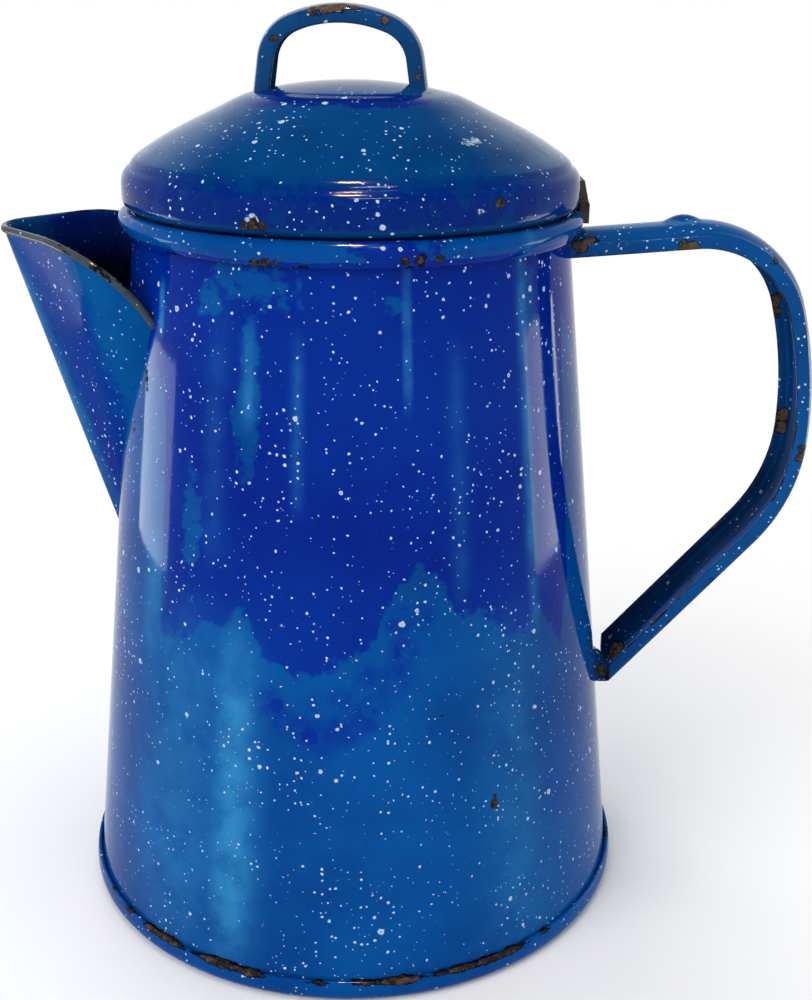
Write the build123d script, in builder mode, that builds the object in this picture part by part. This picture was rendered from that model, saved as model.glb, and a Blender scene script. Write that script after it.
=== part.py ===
from build123d import *
import os
from math import cos, radians, sin, sqrt, tan

# Enamelled sheet-iron coffee pot with a hinged lid, in millimetres.
# The origin is the centre of the flat base, +Z is up, the handle is on +X and the spout on -X.

# Sheet and fits
sheet = 1.0                  # enamelled sheet iron of the pot and its lid
seat_gap = 0.1               # where one sheet is folded over another
moving_gap = 0.3             # between the lid's side of the hinge and the pot

# Foot, wall and rolled rim
foot_radius = 69.0           # outside of the bead round the base
foot_curl = 2.4              # turn from the base into the bead
bead_height = 5.0
bead_fullness = 0.4          # how far the bead swells past its own free edge
edge_lift = 2.0              # cut edge of the wall above the base
rim_height = 169.7           # crest of the rim above the base
neck_radius = 50.4           # outside of the wall under the rim
neck_drop = 5.5              # from the crest down to where the cone starts
roll_radius = 0.85           # inside of the turn from the wall to the crest
swell_radius = 1.15          # inside of the turn from the crest down the rolled rim
swell_turn = 118.0
hem_length = 2.3             # straight part down to the free edge

# Strainer punched through the wall behind the spout
strainer_hole = 3.6
strainer_pitch = 7.5
strainer_rows = 5
strainer_rise = 22.0         # lowest row above the foot of the spout

# Spout
spout_sheet = 1.0
spout_foot = 91.0            # height where the front crease leaves the wall
spout_rim = 164.4            # height of the level part of the lip
spout_reach = 30.7           # tip out from the neck
spout_level = 12.7           # level part of the lip behind the tip
spout_drop = 17.9            # how far the lip falls on its way back to the wall
spout_bow = 4.8              # how far it bows up on that way
spout_half_width = 33.0
spout_half_angle = 49.0      # each side from the middle plane, seen from above
spout_fall = 1.7             # how evenly the spout narrows towards its foot
spout_run_out = 8.0          # the width runs out this far below the foot
spout_nose = 11.5            # rounding of the front crease at the lip
spout_shoulder = 0.75        # rounding of the shoulders as a share of the half width
spout_sink = 3.0             # the form starts this far below the foot, inside the pot
spout_steps = 6              # sections between its foot and its lip
lip_depth = 1.9
lip_swell = 0.7

# Handle, a channel strap with its hollow towards the pot
handle_sheet = 1.1
handle_width = 18.0
handle_depth = 5.4
handle_crown = 2.6
handle_corner = 1.7
handle_rise = 4.7            # slope of the top run
handle_top_run = 28.4
handle_bends = ((26.9, 77.6), (100.8, 18.8), (43.8, 39.2))   # radius and turn, from the top
handle_foot_gap = 2.6        # the strap is cut off this far from the wall
foot_lap = 1.2               # lower edge of the foot above the cut end of the strap
foot_height = 6.0
foot_bite = 0.6              # how far it reaches into the strap, as a share of the sheet
foot_width = 11.0
bump_place = 26.3            # thumb bump along the top run
bump_radius = 4.6
bump_height = 1.1

# Lid
lid_lift = 0.3               # its rolled edge hangs this far above the crest
lid_overhang = 1.9           # side of the lid out from the neck
lid_height = 27.2            # from the rolled edge to the middle of the top disc
disc_radius = 19.0
disc_sag = 1.9
shoulder_inset = 7.7         # end of the dome in from the side
shoulder_height = 13.9       # above the rolled edge
dome_bow = 0.8
step_depth = 1.7             # small step round the dome, in from the side
step_height = 9.0
ledge_depth = 0.8
ledge_height = 8.0
side_height = 5.2
lid_roll = 2.3               # turn under the edge
skirt_gap = 0.5
skirt_depth = 6.6
skirt_taper = 0.3
skirt_turn = 0.6

# Lid loop, a smaller channel strap
loop_sheet = 1.0
loop_width = 13.0
loop_depth = 4.2
loop_crown = 1.0
loop_corner = 1.6
loop_height = 16.3           # above the middle of the lid
loop_top_radius = 31.0
loop_top_angle = 22.0        # half the turn of the flat top
loop_bend_radius = 11.5
loop_lean = 8.0              # legs from upright
loop_offset = 2.4            # towards the spout

# Hinge
pin_radius = 0.6
pin_fit = 0.05               # running clearance in the barrel
ear_fit = 0.02
pin_out = 2.6                # pin out from the neck
pin_up = 1.1                 # pin above the crest of the rim
head_radius = 1.0
head_length = 0.6
barrel_radius = 1.15
barrel_width = 10.0
strap_rise = 5.3             # top of the strap above the pin
strap_stand = 0.6            # and out from the side of the lid
ear_radius = 1.15
ear_thickness = 1.0
plate_thickness = 0.6
plate_low = 3.0              # edges of the bracket's plate below the crest
plate_high = 1.3

# Heights and radii that follow
neck_height = rim_height - neck_drop
hem_lean = radians(swell_turn - 90)
hem_bottom = (rim_height - sheet - swell_radius - (swell_radius + sheet) * sin(hem_lean)
              - hem_length * cos(hem_lean))
bead_edge = foot_radius - bead_fullness
wall_slope = (bead_edge - sheet - seat_gap - neck_radius) / (neck_height - bead_height)
lid_seat = rim_height + lid_lift
lid_top = lid_seat + lid_height
loop_top = lid_top + loop_height
lid_radius = neck_radius + lid_overhang
skirt_radius = neck_radius - sheet - skirt_gap
pin_x = neck_radius + pin_out
pin_z = rim_height + pin_up
ear_inner = barrel_width / 2 + moving_gap
ear_outer = ear_inner + ear_thickness
tip_x = neck_radius + spout_reach
beyond = 2 * foot_radius     # past every surface that is trimmed


def wall_radius(z):
    """Outside radius of the cone at a height above the base."""
    return neck_radius + (neck_height - z) * wall_slope


def rim_turn(stand):
    """Line over the crest and down to the free edge, a distance outside the roll's inner face."""
    crest = Vector(neck_radius + roll_radius, rim_height - sheet + stand)
    swell = JernArc(crest, (1, 0), swell_radius + stand, -swell_turn)
    return Line(swell @ 1, swell @ 1 + (swell % 1) * hem_length)


def rim_sheet(inner, outer):
    """Profile of a sheet that follows the wall and its rolled rim between two distances."""
    with BuildSketch() as profile:
        with BuildLine():
            ends = []
            for stand in (inner, outer):
                foot = (wall_radius(edge_lift) - stand, edge_lift)
                turn = (neck_radius - stand, rim_height - sheet - roll_radius)
                Polyline(foot, (neck_radius - stand, neck_height), turn)
                JernArc(turn, (0, 1), roll_radius + stand, -90)
                hem = rim_turn(stand)
                ends.append((foot, hem @ 1))
            for one, other in zip(*ends):
                Line(one, other)
        make_face()
    return profile.sketch


def strap_face(width, depth, crown, corner):
    """Filled strap section with its crown at the origin and its depth towards -Y."""
    with BuildSketch() as face:
        with BuildLine():
            back = ThreePointArc((-width / 2, -crown), (0, 0), (width / 2, -crown))
            Polyline(back @ 1, (width / 2, -depth), (-width / 2, -depth), back @ 0)
        make_face()
        fillet(face.vertices().group_by(Axis.Y)[-1], corner)
    return face.sketch


def channel_strap(path, width, depth, crown, corner, thickness):
    """Strap of one sheet swept along a path in the XZ plane, its crown on the path's left side."""
    with BuildPart() as strap:
        with BuildSketch(Plane(origin=path @ 0, x_dir=(0, 1, 0), z_dir=path % 0)):
            add(strap_face(width, depth, crown, corner))
            inner_width = width - 2 * thickness
            inner_crown = crown * (inner_width / width) ** 2
            with Locations((0, -thickness)):
                add(strap_face(inner_width, depth, inner_crown, corner - thickness / 2), mode=Mode.SUBTRACT)
        sweep(path=path)
    return strap.part


def spout_section(z, inset):
    """Plan of the spout at one height: rounded nose, two sides and two shoulders."""
    share = (spout_rim - z) / (spout_rim - spout_foot + spout_run_out)
    full = spout_half_width * (1 - max(share, 0) ** spout_fall)
    foot_x = wall_radius(spout_foot) + spout_sheet
    crease_x = foot_x + (z - spout_foot) * (tip_x - foot_x) / (spout_rim - spout_foot)
    nose = spout_nose * full / spout_half_width
    sharpness = 1 / sin(radians(spout_half_angle))
    nose_x = inset * sharpness - crease_x - nose * (sharpness - 1)
    half = full - inset
    shoulder_x = nose_x + half / tan(radians(spout_half_angle))
    back_x = -neck_radius / 2    # well inside the pot
    with BuildSketch(Plane.XY.offset(z)) as plan:
        with BuildLine():
            Polyline((back_x, -half), (shoulder_x, -half), (nose_x, 0), (shoulder_x, half), (back_x, half),
                     close=True)
        make_face()
        columns = plan.vertices().group_by(Axis.X)
        fillet(columns[1], full * spout_shoulder)
        fillet(plan.vertices().sort_by(Axis.X)[0], max(nose - inset, nose / 2))
    return plan.sketch


def spout_form(inset):
    """Filled spout, reaching into the pot, with its sides moved in by an inset."""
    low = spout_foot - spout_sink
    high = spout_rim + 2 * lip_depth
    heights = [low + (high - low) * n / spout_steps for n in range(spout_steps + 1)]
    with BuildPart() as form:
        loft(sections=[spout_section(z, inset) for z in heights])
    return form.part


def above_lip():
    """Everything above the lip of the spout."""
    end_z = spout_rim - spout_drop
    end_x = -sqrt(wall_radius(end_z) ** 2 - (spout_half_width - spout_sheet) ** 2)
    with BuildPart() as cutter:
        with BuildSketch(Plane.XZ):
            with BuildLine():
                level = Line((-beyond, spout_rim), (spout_level - tip_x, spout_rim))
                fall = SagittaArc(level @ 1, (end_x, end_z), spout_bow)
                Polyline(fall @ 1, (0, end_z), (0, 2 * spout_rim), (-beyond, 2 * spout_rim), level @ 0)
            make_face()
        extrude(amount=beyond, both=True)
    return cutter.part


# Wall: one sheet from its cut edge in the foot up the cone, over the crest and down to the free edge
with BuildPart() as body_wall:
    with BuildSketch(Plane.XZ):
        add(rim_sheet(0, sheet))
    revolve(axis=Axis.Z)
    for row in range(strainer_rows):
        with BuildSketch(Plane.YZ):
            with Locations((0, spout_foot + strainer_rise + row * strainer_pitch)):
                with GridLocations(strainer_pitch, strainer_pitch, row + 2, 1):
                    Circle(strainer_hole / 2)
        extrude(amount=-beyond, mode=Mode.SUBTRACT)

# The pot as a filled form, which trims what is joined to its outside
with BuildPart() as pot_form:
    with BuildSketch(Plane.XZ):
        with BuildLine():
            hem = rim_turn(sheet)
            Polyline(hem @ 1, (neck_radius, hem_bottom), (neck_radius, neck_height), (wall_radius(0), 0),
                     (0, 0), (0, rim_height), (neck_radius + roll_radius, rim_height))
        make_face()
    revolve(axis=Axis.Z)

# Base pan, whose edge is curled up round the foot of the wall
with BuildPart() as bottom_pan:
    with BuildSketch(Plane.XZ):
        with BuildLine():
            Line((0, 0), (foot_radius - foot_curl, 0))
            TangentArc((foot_radius - foot_curl, 0), (foot_radius, foot_curl), tangent=(1, 0))
            TangentArc((foot_radius, foot_curl), (bead_edge, bead_height), tangent=(0, 1))
            offset(amount=sheet, side=Side.LEFT)
        make_face()
    revolve(axis=Axis.Z)

# Spout: a folded sheet with a fuller band along its lip
with BuildPart() as spout:
    add(spout_form(-lip_swell))
    add(above_lip().moved(Location((-lip_depth / 2, 0, -lip_depth))), mode=Mode.INTERSECT)
    add(spout_form(0))
    add(spout_form(spout_sheet), mode=Mode.SUBTRACT)
    add(above_lip(), mode=Mode.SUBTRACT)
    add(pot_form.part, mode=Mode.SUBTRACT)

# Handle: channel strap swept from under the rim to its cut lower end, with a thumb bump and a foot
with BuildLine() as handle_run:
    rise = Vector(cos(radians(handle_rise)), sin(radians(handle_rise)))
    top_start = Vector(neck_radius, hem_bottom)
    ahead = Line(top_start - rise * sheet, top_start + rise * handle_top_run)
    for bend_radius, bend_turn in handle_bends:
        ahead = JernArc(ahead @ 1, ahead % 1, bend_radius, -bend_turn)
    down = ahead % 1
    last_bend = ahead @ 1
    reach = (wall_radius(last_bend.Y) + handle_foot_gap - last_bend.X) / (down.X + down.Y * wall_slope)
    cut_end = last_bend + down * reach
    Line(last_bend, last_bend + down * foot_radius)
with BuildPart() as handle:
    add(channel_strap(handle_run.wire().moved(Plane.XZ.location), handle_width, handle_depth, handle_crown,
                      handle_corner, handle_sheet))
    with BuildSketch(Plane.XZ):
        with Locations((cut_end.X, hem_bottom / 2)):
            Rectangle(beyond, beyond, align=(Align.MAX, Align.MAX))
    extrude(amount=handle_width, both=True, mode=Mode.SUBTRACT)
    with BuildSketch(Plane.XZ):
        foot_low = cut_end.Y + foot_lap
        foot_top = foot_low + foot_height
        web_point = cut_end - down * handle_sheet + Vector(down.Y, -down.X) * handle_sheet * foot_bite
        with BuildLine():
            Polyline((wall_radius(foot_low) - sheet, foot_low), web_point,
                     (cut_end.X, web_point.Y + 2 * handle_sheet), (cut_end.X, foot_top - handle_foot_gap),
                     (wall_radius(foot_top), foot_top), (wall_radius(foot_top) - sheet, foot_top), close=True)
        make_face()
    extrude(amount=foot_width / 2, both=True)
    bump_point = top_start + rise * bump_place
    bump_plane = Plane(origin=(bump_point.X, 0, bump_point.Y), x_dir=(rise.X, 0, rise.Y),
                       z_dir=(-rise.Y, 0, rise.X))
    with BuildSketch(Plane(origin=bump_plane.origin, x_dir=bump_plane.x_dir, z_dir=(0, -1, 0))):
        with BuildLine():
            bump_sink = handle_crown * (2 * bump_radius / handle_width) ** 2
            TangentArc((0, bump_height), (bump_radius, -bump_sink), tangent=(1, 0))
            Polyline((bump_radius, -bump_sink), (bump_radius, -handle_sheet), (0, -handle_sheet),
                     (0, bump_height))
        make_face()
    revolve(axis=Axis(bump_plane.origin, bump_plane.z_dir))
    add(pot_form.part, mode=Mode.SUBTRACT)


def lid_line():
    """Outer face of the lid from its middle over the rolled edge down to the end of the skirt."""
    disc_edge = (disc_radius, lid_top - disc_sag)
    shoulder = (lid_radius - shoulder_inset, lid_seat + shoulder_height)
    step = (lid_radius - step_depth, lid_seat + step_height)
    ledge = (lid_radius - ledge_depth, lid_seat + ledge_height)
    side_top = (lid_radius, lid_seat + side_height)
    side_low = (lid_radius, lid_seat + lid_roll)
    under = (lid_radius - lid_roll, lid_seat)
    corner = (skirt_radius + skirt_turn, lid_seat)
    skirt_top = (skirt_radius, lid_seat - skirt_turn)
    TangentArc((0, lid_top), disc_edge, tangent=(1, 0))
    SagittaArc(disc_edge, shoulder, dome_bow)
    Polyline(shoulder, step, ledge)
    TangentArc(side_top, ledge, tangent=(0, 1))
    Line(side_top, side_low)
    TangentArc(side_low, under, tangent=(0, -1))
    Line(under, corner)
    TangentArc(corner, skirt_top, tangent=(-1, 0))
    return Line(skirt_top, (skirt_radius - skirt_taper, lid_seat - skirt_depth))


# Lid: one sheet from the dome over the rolled edge into the skirt
with BuildPart() as lid:
    with BuildSketch(Plane.XZ):
        with BuildLine():
            lid_line()
            offset(amount=sheet, side=Side.RIGHT)
        make_face()
    revolve(axis=Axis.Z)

# The lid as a filled form, which trims what is joined to its outside
with BuildPart() as lid_form:
    with BuildSketch(Plane.XZ):
        with BuildLine():
            skirt = lid_line()
            Polyline(skirt @ 1, (0, lid_seat - skirt_depth), (0, lid_top))
        make_face()
    revolve(axis=Axis.Z)

# Loop on the lid
with BuildLine() as loop_run:
    lean = radians(loop_lean)
    top_turn = radians(loop_top_angle)
    leg = Vector(sin(lean), cos(lean)) * loop_height
    flat_end = Vector(-loop_offset - loop_top_radius * sin(top_turn),
                      loop_top - loop_top_radius * (1 - cos(top_turn)))
    bend_start = flat_end - Vector(cos(lean) - sin(top_turn), cos(top_turn) - sin(lean)) * loop_bend_radius
    ahead = Line(bend_start - leg, bend_start)
    for bend_radius, bend_turn in ((loop_bend_radius, 90 - loop_lean - loop_top_angle),
                                   (loop_top_radius, 2 * loop_top_angle),
                                   (loop_bend_radius, 90 - loop_lean - loop_top_angle)):
        ahead = JernArc(ahead @ 1, ahead % 1, bend_radius, -bend_turn)
    Line(ahead @ 1, ahead @ 1 + (ahead % 1) * loop_height)
with BuildPart() as lid_loop:
    add(channel_strap(loop_run.wire().moved(Plane.XZ.location), loop_width, loop_depth, loop_crown,
                      loop_corner, loop_sheet))
    add(lid_form.part, mode=Mode.SUBTRACT)

# Hinge: barrel and plate of the strap, seated on the side of the lid
with BuildPart() as lid_hinge_strap:
    with BuildSketch(Plane.XZ):
        with BuildLine():
            Polyline((pin_x + barrel_radius, pin_z), (lid_radius + strap_stand, pin_z + strap_rise),
                     (lid_radius - sheet, pin_z + strap_rise), (lid_radius - sheet, pin_z), close=True)
        make_face()
        with Locations((pin_x, pin_z)):
            Circle(barrel_radius)
            Circle(pin_radius + pin_fit, mode=Mode.SUBTRACT)
    extrude(amount=barrel_width / 2, both=True)
    add(lid_form.part, mode=Mode.SUBTRACT)

# Bracket: plate on the rolled rim with an ear at each side of the barrel
with BuildPart() as rim_hinge_bracket:
    with BuildSketch(Plane.XZ):
        add(rim_sheet(sheet, sheet + plate_thickness))
        with Locations((neck_radius, rim_height - plate_high)):
            Rectangle(beyond, plate_low - plate_high, align=(Align.MIN, Align.MAX), mode=Mode.INTERSECT)
    revolve(axis=Axis.Z)
    with BuildSketch(Plane.YZ):
        with Locations((0, rim_height)):
            Rectangle(2 * ear_outer, 2 * plate_low)
    extrude(amount=beyond, mode=Mode.INTERSECT)
    with BuildSketch(Plane.XZ):
        with Locations((pin_x, pin_z)):
            Circle(ear_radius)
            Rectangle(2 * ear_radius, pin_up + plate_low, align=(Align.CENTER, Align.MAX))
    extrude(amount=ear_outer, both=True)
    with BuildSketch(Plane.XZ):
        with Locations((pin_x, pin_z)):
            Rectangle(4 * ear_radius, 2 * (pin_up + plate_high), align=(Align.CENTER, Align.CENTER))
    extrude(amount=ear_inner, both=True, mode=Mode.SUBTRACT)
    with BuildSketch(Plane.XZ):
        with Locations((pin_x, pin_z)):
            Circle(pin_radius + ear_fit)
    extrude(amount=ear_outer, both=True, mode=Mode.SUBTRACT)
    add(pot_form.part, mode=Mode.SUBTRACT)

with BuildPart() as hinge_pin:
    with BuildSketch(Plane.XZ):
        with Locations((pin_x, pin_z)):
            Circle(pin_radius)
    extrude(amount=ear_outer, both=True)
    with BuildSketch(Plane.XZ.offset(ear_outer), Plane.XZ.offset(-ear_outer - head_length)):
        with Locations((pin_x, pin_z)):
            Circle(head_radius)
    extrude(amount=head_length)

pieces = {
    "body_wall": body_wall, "bottom_pan": bottom_pan, "spout": spout, "handle": handle,
    "rim_hinge_bracket": rim_hinge_bracket, "hinge_pin": hinge_pin,
    "lid": lid, "lid_loop": lid_loop, "lid_hinge_strap": lid_hinge_strap,
}
os.makedirs("parts", exist_ok=True)
for name, piece in pieces.items():
    piece.part.label = name
    export_step(piece.part, f"parts/{name}.step")
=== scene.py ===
"""Looks of an enamelled sheet-iron coffee pot with a hinged lid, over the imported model."""
import contextlib
import math
from functools import partial

import bmesh
import bpy
import numpy as np
from mathutils import Matrix, Vector


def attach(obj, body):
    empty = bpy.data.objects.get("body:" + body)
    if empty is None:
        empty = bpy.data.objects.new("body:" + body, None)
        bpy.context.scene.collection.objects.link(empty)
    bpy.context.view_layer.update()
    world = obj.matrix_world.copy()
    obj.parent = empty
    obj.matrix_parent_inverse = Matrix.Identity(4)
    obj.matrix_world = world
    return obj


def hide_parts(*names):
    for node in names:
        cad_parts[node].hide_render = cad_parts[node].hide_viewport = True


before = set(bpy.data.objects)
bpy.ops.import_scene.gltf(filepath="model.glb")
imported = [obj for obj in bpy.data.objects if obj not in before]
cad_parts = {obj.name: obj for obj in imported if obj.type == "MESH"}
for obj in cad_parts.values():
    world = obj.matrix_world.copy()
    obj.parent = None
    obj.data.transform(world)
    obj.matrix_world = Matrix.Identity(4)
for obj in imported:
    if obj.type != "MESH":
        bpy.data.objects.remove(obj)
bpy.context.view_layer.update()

MM = 0.001
DOUBLE = 0.00001

# Sizes of the model in millimetres, as its solids have them
SHEET = 1.0
FOOT_RADIUS, FOOT_CURL, BEAD_HEIGHT, BEAD_EDGE = 69.0, 2.4, 5.0, 68.6
BEAD_CROWN, BEAD_MIDDLE = 8.6, 2.5
RIM, NECK_RADIUS, NECK_HEIGHT, ROLL_START = 169.7, 50.4, 164.2, 167.4
WALL_FOOT = 2.0
WALL_SLOPE = (BEAD_EDGE - SHEET - 0.1 - NECK_RADIUS) / (NECK_HEIGHT - BEAD_HEIGHT)
ROLL_RADIUS, SWELL_RADIUS, SWELL_TURN, HEM_LENGTH = 0.85, 1.15, 118.0, 2.3
LID_SEAT, LID_TOP, LID_RADIUS, LID_TURN = 170.0, 197.2, 52.3, 2.3
DISC_BOW, DISC_EDGE_ANGLE, DISC_RADIUS = 95.95, 78.58, 19.5
DOME_KNOTS = ((20.2, 195.0), (24, 194.1), (31, 190.85), (37.8, 187.6), (42.8, 184.95), (46.4, 182.7),
              (48.2, 181.5), (49.3, 180.6), (49.9, 179.8), (50.25, 179.2), (50.7, 178.8), (51.2, 178.35),
              (51.75, 177.5), (52.15, 176.3), (LID_RADIUS, 175.2))
SKIRT_RADIUS, SKIRT_BEND, SKIRT_END = 48.9, 0.6, 163.4
TIP_X = 81.1
SPOUT_FOOT, SPOUT_RIM, SPOUT_HALF_WIDTH, SPOUT_RUN_OUT = 91.0, 164.4, 33.0, 8.0
SPOUT_NARROWING, SPOUT_NOSE, SPOUT_SHOULDER, SPOUT_BACK = 1.7, 11.5, 0.75, -25.0
SPOUT_HALF_ANGLE = math.radians(49)
LIP_START, LIP_END, LIP_BOW = (-68.4, SPOUT_RIM), (-41.37, 146.5), 4.8
HANDLE_WIDTH, HANDLE_DEPTH, HANDLE_CROWN, HANDLE_CORNER, HANDLE_SHEET = 18.0, 5.4, 2.6, 1.7, 1.1
HANDLE_RISE, HANDLE_TOP_RUN, HANDLE_LOW_RUN = 4.7, 29.2, 60.0
HANDLE_BENDS = ((26.9, 77.6), (100.8, 18.8), (43.8, 39.2))
HANDLE_FOOT_GAP, FOOT_HALF_WIDTH = 2.6, 5.5
BUMP_ALONG, BUMP_RADIUS, BUMP_HEIGHT = 26.3, 4.6, 1.4
LOOP_WIDTH, LOOP_DEPTH, LOOP_LEG, LOOP_LEAN, LOOP_BEND, LOOP_BOW = 13.0, 4.2, 8.6, 8.0, 11.5, 31.0
LOOP_MIDDLE, LOOP_RISE, LOOP_TOP_TURN = -2.4, 16.3, 22.0
PUNCH_RADIUS, PUNCH_PITCH, PUNCH_LOW, PUNCH_ROWS = 1.8, 7.5, 113.0, 5


def wall_radius(z):
    """Outside radius of the cone in millimetres."""
    return NECK_RADIUS + (NECK_HEIGHT - z) * WALL_SLOPE


# Mesh making

def arc(x, z, radius, first, last, count):
    """Points on an arc in the XZ plane, angles in degrees from +X."""
    turn = np.radians(np.linspace(first, last, count))
    return np.stack([x + radius * np.cos(turn), z + radius * np.sin(turn)], 1)


def run(start, end, step):
    """Points on a straight run at about a step apart."""
    start, end = np.array(start, float), np.array(end, float)
    count = max(2, int(np.linalg.norm(end - start) / step) + 1)
    return start + np.linspace(0, 1, count)[:, None] * (end - start)


def joined(*parts):
    """One chain of points out of several, without doubled ends."""
    chain = np.concatenate([np.atleast_2d(np.array(p, float)) for p in parts])
    keep = np.ones(len(chain), bool)
    keep[1:] = np.linalg.norm(np.diff(chain, axis=0), axis=1) > 1e-4
    return chain[keep]


def linked(name, data):
    """New object in the scene, at the origin."""
    obj = bpy.data.objects.new(name, data)
    bpy.context.scene.collection.objects.link(obj)
    return obj


def mesh_object(name, points, faces, edges=()):
    """Object with its place in its mesh, points in millimetres."""
    mesh = bpy.data.meshes.new(name)
    mesh.from_pydata((np.asarray(points, float) * MM).tolist(), list(edges), [list(f) for f in faces])
    mesh.update()
    return linked(name, mesh)


def chain_object(name, points, closed):
    """Chain of edges that a tree reads as a curve, points in millimetres."""
    count = len(points)
    edges = [(i, i + 1) for i in range(count - 1)] + ([(count - 1, 0)] if closed else [])
    return mesh_object(name, points, [], edges)


@contextlib.contextmanager
def edited(obj):
    """Opens the object's mesh for editing and puts it back."""
    bm = bmesh.new()
    bm.from_mesh(obj.data)
    yield bm
    bm.to_mesh(obj.data)
    bm.free()


def made_plain(obj):
    """The object's mesh as its modifiers leave it."""
    graph = bpy.context.evaluated_depsgraph_get()
    return bpy.data.meshes.new_from_object(obj.evaluated_get(graph))


def tidy_mesh(obj):
    """Merges doubles, turns faces outwards and shades the mesh smooth."""
    with edited(obj) as bm:
        bmesh.ops.remove_doubles(bm, verts=bm.verts, dist=DOUBLE)
        bmesh.ops.recalc_face_normals(bm, faces=bm.faces)
    obj.data.shade_smooth()


def points_of(obj):
    """Vertex positions in millimetres."""
    flat = np.empty(len(obj.data.vertices) * 3, np.float32)
    obj.data.vertices.foreach_get("co", flat)
    return flat.reshape(-1, 3).astype(float) / MM


def move_points(obj, points):
    obj.data.vertices.foreach_set("co", (points * MM).astype(np.float32).ravel())
    obj.data.update()


def store(obj, **finish):
    """Keeps values for each vertex, for the piece's finish to read."""
    for name, values in finish.items():
        layer = obj.data.attributes.new(name, "FLOAT", "POINT")
        layer.data.foreach_set("value", np.full(len(layer.data), values, np.float32))


# Trees

def add_node(tree, kind, inputs=(), **settings):
    """Adds a node with its settings, and sets or links its inputs, a list in their order or a dict by name.

    A node that is given as an input stands for its first output.
    """
    node = tree.nodes.new(kind)
    for key, value in settings.items():
        setattr(node, key, value)
    shown = [socket for socket in node.inputs if socket.enabled]
    for key, value in inputs.items() if isinstance(inputs, dict) else enumerate(inputs):
        socket = node.inputs[key] if isinstance(key, str) else shown[key]
        if isinstance(value, bpy.types.Node):
            value = next(output for output in value.outputs if output.enabled)
        if isinstance(value, bpy.types.NodeSocket):
            tree.links.new(value, socket)
        else:
            socket.default_value = value
    return node


def new_tree(name, result, inputs):
    """Geometry tree with its named inputs, and the node that gives them."""
    tree = bpy.data.node_groups.new(name, "GeometryNodeTree")
    for label, kind in inputs.items():
        tree.interface.new_socket(label, in_out="INPUT", socket_type="NodeSocket" + kind)
    tree.interface.new_socket(result, in_out="OUTPUT", socket_type="NodeSocketGeometry")
    return tree, add_node(tree, "NodeGroupInput").outputs


def finish_tree(tree, result, geometry, material):
    """Makes the tree's geometry real and sets its material."""
    real = add_node(tree, "GeometryNodeRealizeInstances", {"Geometry": geometry})
    done = add_node(tree, "GeometryNodeSetMaterial", {"Geometry": real, "Material": material})
    add_node(tree, "NodeGroupOutput", {result: done})
    return tree


def turned_sheet_tree():
    """Lathe for the turned sheets: the profile goes round the pot's axis."""
    tree, given = new_tree("turned_sheet", "Sheet", {"Profile": "Geometry", "Segments": "Int",
                                                     "Turning Radius": "Float", "Finish": "Material"})
    profile = add_node(tree, "GeometryNodeMeshToCurve", {"Mesh": given["Profile"]})
    circle = add_node(tree, "GeometryNodeCurvePrimitiveCircle",
                      {"Resolution": given["Segments"], "Radius": given["Turning Radius"]})
    sheet = add_node(tree, "GeometryNodeCurveToMesh",
                     {"Curve": circle, "Profile Curve": profile})
    closed = add_node(tree, "GeometryNodeMergeByDistance", {"Geometry": sheet, "Distance": DOUBLE})
    return finish_tree(tree, "Sheet", closed, given["Finish"])


def swept_strap_tree():
    """Rolls a strap: its section follows the object's own path."""
    tree, given = new_tree("swept_strap", "Strap",
                           {"Path": "Geometry", "Section": "Object", "Finish": "Material"})
    path = add_node(tree, "GeometryNodeMeshToCurve", {"Mesh": given["Path"]})
    info = add_node(tree, "GeometryNodeObjectInfo", {"Object": given["Section"]})
    section = add_node(tree, "GeometryNodeMeshToCurve", {"Mesh": info.outputs["Geometry"]})
    strap = add_node(tree, "GeometryNodeCurveToMesh",
                     {"Curve": path, "Profile Curve": section, "Fill Caps": True})
    return finish_tree(tree, "Strap", strap, given["Finish"])


def strainer_tree():
    """Row of round punches, one on each place, for the strainer behind the spout."""
    tree, given = new_tree("strainer_punches", "Punches", {"Places": "Geometry", "Punch Radius": "Float",
                                                           "Punch Length": "Float", "Finish": "Material"})
    punch = add_node(tree, "GeometryNodeMeshCylinder",
                     {"Vertices": 24, "Radius": given["Punch Radius"], "Depth": given["Punch Length"]})
    placed = add_node(tree, "GeometryNodeInstanceOnPoints",
                      {"Points": given["Places"], "Instance": punch, "Rotation": (0, math.pi / 2, 0)})
    return finish_tree(tree, "Punches", placed, given["Finish"])


def grown(obj, tree, name, **values):
    """Runs a tree on an object and keeps the result as a plain mesh."""
    modifier = obj.modifiers.new("make", "NODES")
    modifier.node_group = tree
    for item in tree.interface.items_tree:
        if item.in_out == "INPUT" and item.name in values:
            modifier[item.identifier] = values[item.name]
    bpy.context.view_layer.update()
    mesh = made_plain(obj)
    bpy.data.objects.remove(obj)
    mesh.name = name
    return linked(name, mesh)


TURNED_SHEET = turned_sheet_tree()
SWEPT_STRAP = swept_strap_tree()
STRAINER = strainer_tree()
TURNING_RADIUS = 80.0


def turned(name, profile, finish, segments=360, closed=True):
    """Turned sheet from a profile of radius and height in millimetres."""
    flat = np.stack([profile[:, 0] - TURNING_RADIUS, -profile[:, 1], np.zeros(len(profile))], 1)
    obj = grown(chain_object(name + "_profile", flat, closed), TURNED_SHEET, name, Segments=segments,
                **{"Turning Radius": TURNING_RADIUS * MM, "Finish": finish})
    tidy_mesh(obj)
    return obj


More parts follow.
